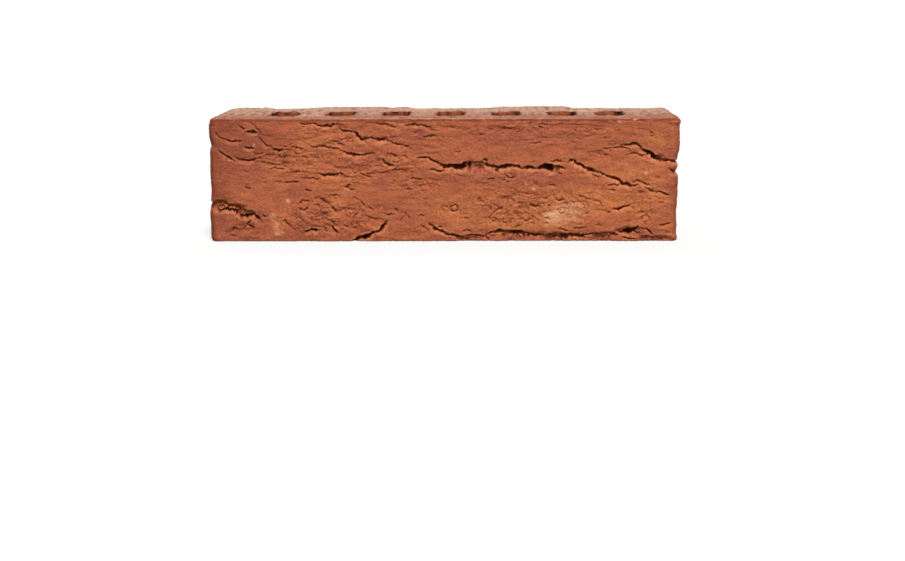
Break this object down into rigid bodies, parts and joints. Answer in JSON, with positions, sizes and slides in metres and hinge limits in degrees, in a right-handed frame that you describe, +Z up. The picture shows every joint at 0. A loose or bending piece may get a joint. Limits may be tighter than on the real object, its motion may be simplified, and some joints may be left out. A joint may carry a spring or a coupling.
{
  "type": "clinker brick",
  "caption": "Hard-fired clay facing brick: a long block with rounded upright edges, a torn bark-like front face and a row of rounded slots running through it from bed to bed.",
  "frame": {"origin": "middle of the lower bed, in the plane that the brick is laid on", "axes": "+X along the length, -Y out of the torn facing side, +Z up through the slots to the upper bed"},
  "size_m": [0.248, 0.085, 0.0655],
  "materials": {
    "fired_clay": "hard-fired clinker, matt, in patches of red-brown, orange and mauve-brown"
  },
  "bodies": {
    "root": {"brick": "fired_clay"}
  },
  "joints": []
}
